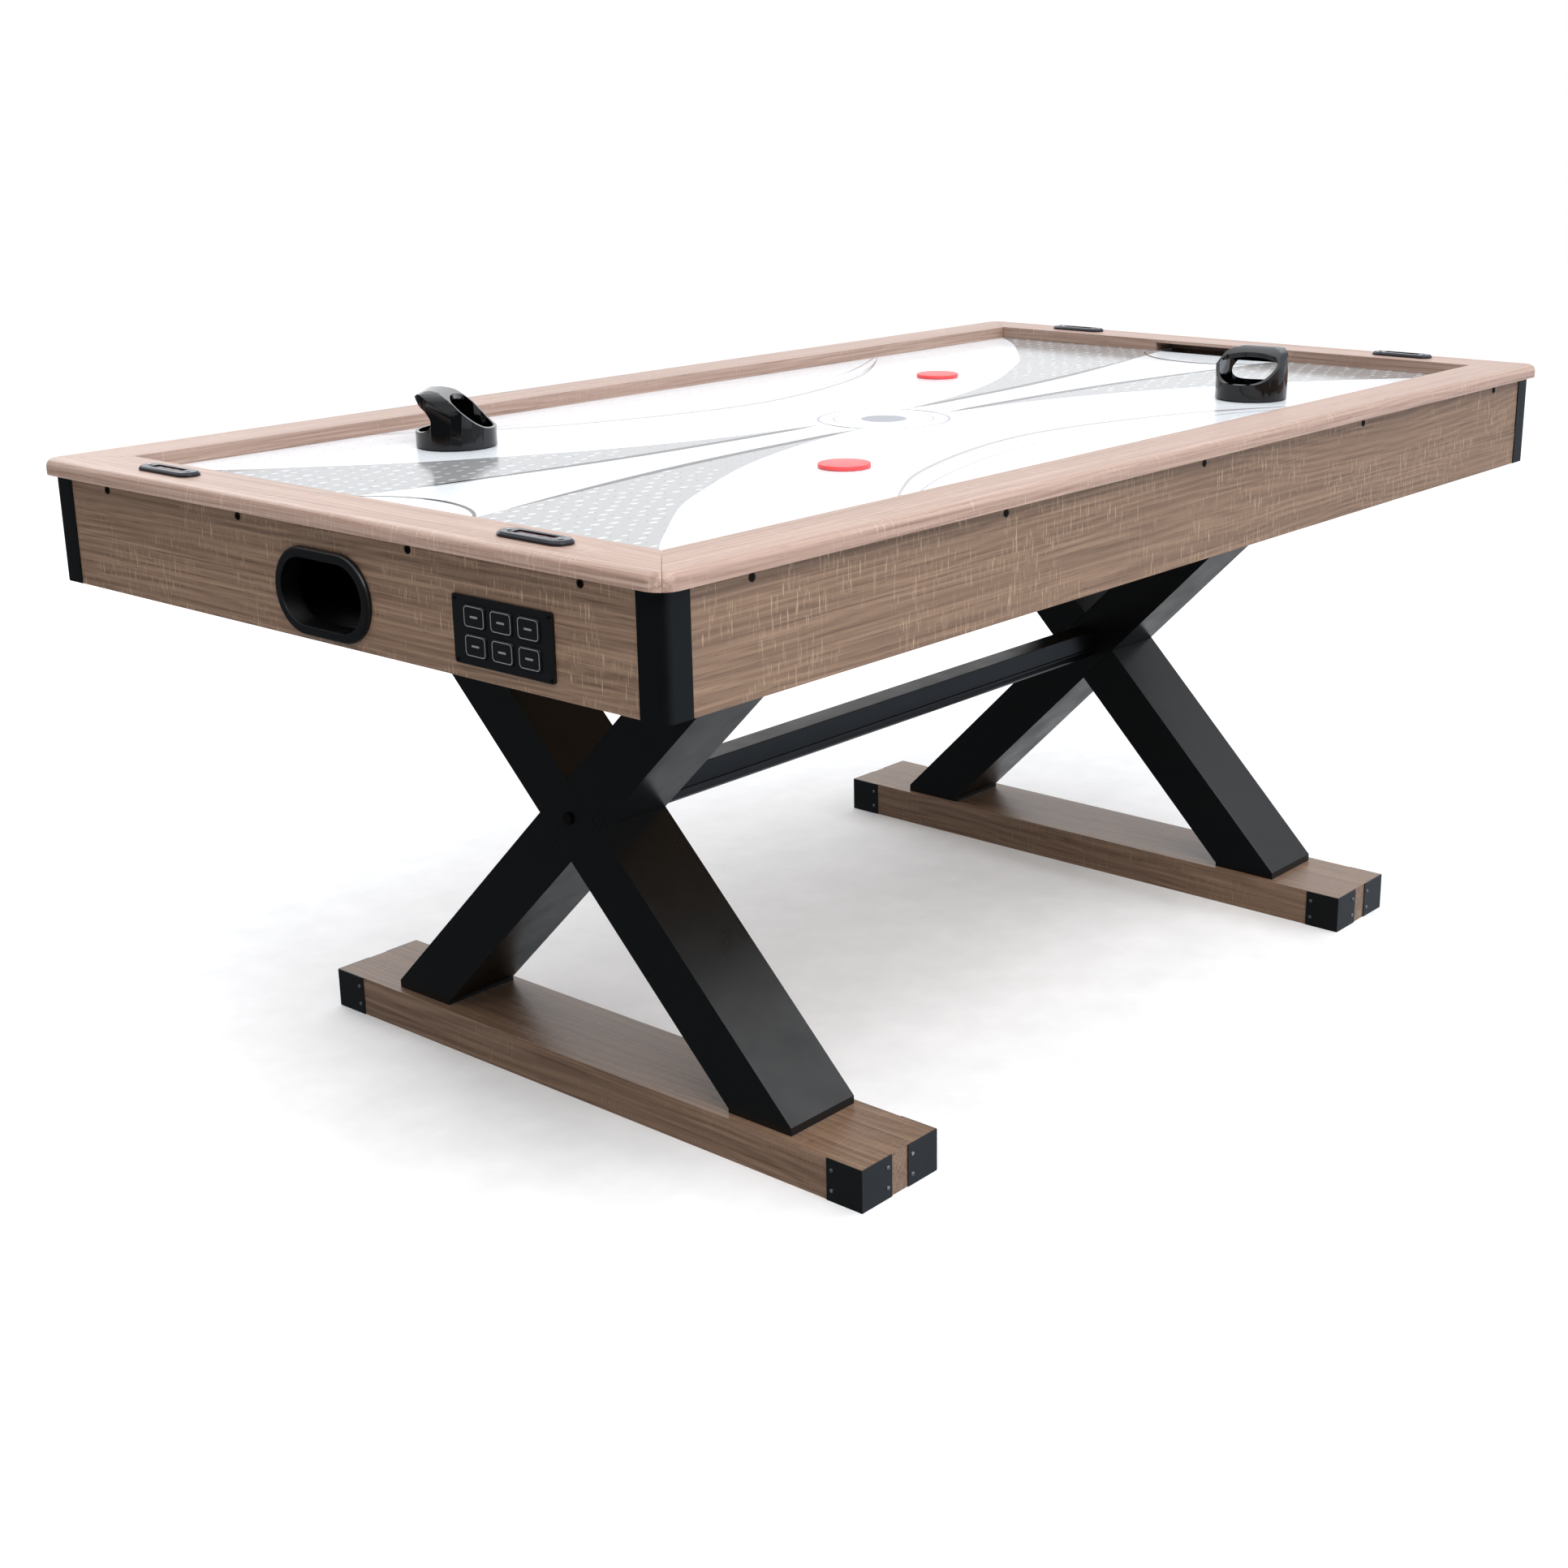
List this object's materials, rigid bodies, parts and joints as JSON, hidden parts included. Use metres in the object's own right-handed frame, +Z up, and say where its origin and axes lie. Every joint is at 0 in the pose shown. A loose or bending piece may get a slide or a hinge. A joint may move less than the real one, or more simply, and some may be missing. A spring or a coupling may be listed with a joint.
{
  "type": "air hockey table",
  "caption": "Air hockey table with wood-grain cabinet on crossed black beam legs, puck returns, score displays, pushers and pucks.",
  "frame": {"origin": "on the floor under the middle of the table", "axes": "+X along the table from the control panel end to the far end, +Y across to the left seen from the control panel end, +Z up"},
  "size_m": [1.83, 1.01, 0.827],
  "materials": {
    "wood_rail": "satin wood-grain laminate, pinkish oak",
    "wood_apron": "satin wood-grain laminate, grey-brown oak",
    "wood_foot": "satin wood-grain laminate, grey-brown oak",
    "wood_board": "raw board",
    "black_plastic": "satin moulded",
    "black_beam": "satin black paint",
    "black_metal": "satin black paint",
    "black_gloss": "high gloss",
    "panel_black": "fine satin",
    "button_black": "satin",
    "circuit_green": "board lacquer",
    "silver_bezel": "metallised plastic",
    "display_red": "dark red display face",
    "white_field": "glossy laminate with printed graphics",
    "felt": "felt",
    "red_puck": "smooth",
    "steel": "zinc plated"
  },
  "bodies": {
    "cabinet": {"apron_screws": "black_metal", "blower_housing": "black_plastic", "blower_motor": "steel", "control_circuit_board": "circuit_green", "control_plate": "panel_black", "far_end_apron": "wood_apron", "far_end_rail": "wood_rail", "far_foot_plank": "wood_foot", "far_left_corner_post": "black_plastic", "far_left_score_bezel": "silver_bezel", "far_left_score_display": "display_red", "far_leg_full_beam": "black_beam", "far_leg_lower_half_beam": "black_beam", "far_leg_mount_board": "wood_board", "far_leg_upper_half_beam": "black_beam", "far_return_pocket": "black_plastic", "far_return_ring": "black_plastic", "far_right_corner_post": "black_plastic", "far_right_score_bezel": "silver_bezel", "far_right_score_display": "display_red", "foot_corner_brackets": "black_metal", "left_side_apron": "wood_apron", "left_side_rail": "wood_rail", "leg_bolts": "steel", "near_end_apron": "wood_apron", "near_end_rail": "wood_rail", "near_foot_plank": "wood_foot", "near_left_corner_post": "black_plastic", "near_left_score_bezel": "silver_bezel", "near_left_score_display": "display_red", "near_leg_full_beam": "black_beam", "near_leg_lower_half_beam": "black_beam", "near_leg_mount_board": "wood_board", "near_leg_upper_half_beam": "black_beam", "near_return_pocket": "black_plastic", "near_return_ring": "black_plastic", "near_right_corner_post": "black_plastic", "near_right_score_bezel": "silver_bezel", "near_right_score_display": "display_red", "playfield_board": "white_field", "plenum_battens": "wood_board", "plenum_floor": "wood_board", "power_inlet": "black_plastic", "right_side_apron": "wood_apron", "right_side_rail": "wood_rail", "small_screws": "steel", "stretcher": "black_beam"},
    "blower_impeller": {"blower_impeller": "black_plastic"},
    "control_button_1": {"control_button_1": "button_black"},
    "control_button_2": {"control_button_2": "button_black"},
    "control_button_3": {"control_button_3": "button_black"},
    "control_button_4": {"control_button_4": "button_black"},
    "control_button_5": {"control_button_5": "button_black"},
    "control_button_6": {"control_button_6": "button_black"},
    "near_pusher": {"near_pusher_shell": "black_gloss", "near_pusher_felt": "felt"},
    "near_puck": {"near_puck": "red_puck"},
    "far_pusher": {"far_pusher_shell": "black_gloss", "far_pusher_felt": "felt"},
    "far_puck": {"far_puck": "red_puck"}
  },
  "joints": [
    {"name": "impeller_spin", "type": "hinge", "parent": "cabinet", "child": "blower_impeller", "pos_m": [0, 0, 0.68], "axis": [0, 0, 1], "continuous": true},
    {"name": "button_1_press", "type": "slide", "parent": "cabinet", "child": "control_button_1", "axis": [1, 0, 0], "range_m": [0, 0.001], "stiffness_N_per_m": 800, "springref_m": -0.0008},
    {"name": "button_2_press", "type": "slide", "parent": "cabinet", "child": "control_button_2", "axis": [1, 0, 0], "range_m": [0, 0.001], "stiffness_N_per_m": 800, "springref_m": -0.0008},
    {"name": "button_3_press", "type": "slide", "parent": "cabinet", "child": "control_button_3", "axis": [1, 0, 0], "range_m": [0, 0.001], "stiffness_N_per_m": 800, "springref_m": -0.0008},
    {"name": "button_4_press", "type": "slide", "parent": "cabinet", "child": "control_button_4", "axis": [1, 0, 0], "range_m": [0, 0.001], "stiffness_N_per_m": 800, "springref_m": -0.0008},
    {"name": "button_5_press", "type": "slide", "parent": "cabinet", "child": "control_button_5", "axis": [1, 0, 0], "range_m": [0, 0.001], "stiffness_N_per_m": 800, "springref_m": -0.0008},
    {"name": "button_6_press", "type": "slide", "parent": "cabinet", "child": "control_button_6", "axis": [1, 0, 0], "range_m": [0, 0.001], "stiffness_N_per_m": 800, "springref_m": -0.0008},
    {"name": "near_pusher_slide", "type": "slide", "parent": "cabinet", "child": "near_pusher", "axis": [0, 1, 0], "range_m": [-0.6541, 0.1013]},
    {"name": "far_pusher_slide", "type": "slide", "parent": "cabinet", "child": "far_pusher", "axis": [0, 1, 0], "range_m": [-0.0927, 0.6627]},
    {"name": "near_puck_slide", "type": "slide", "parent": "cabinet", "child": "near_puck", "axis": [0, 1, 0], "range_m": [-0.194, 0.598]},
    {"name": "far_puck_slide", "type": "slide", "parent": "cabinet", "child": "far_puck", "axis": [0, 1, 0], "range_m": [-0.598, 0.194]}
  ]
}
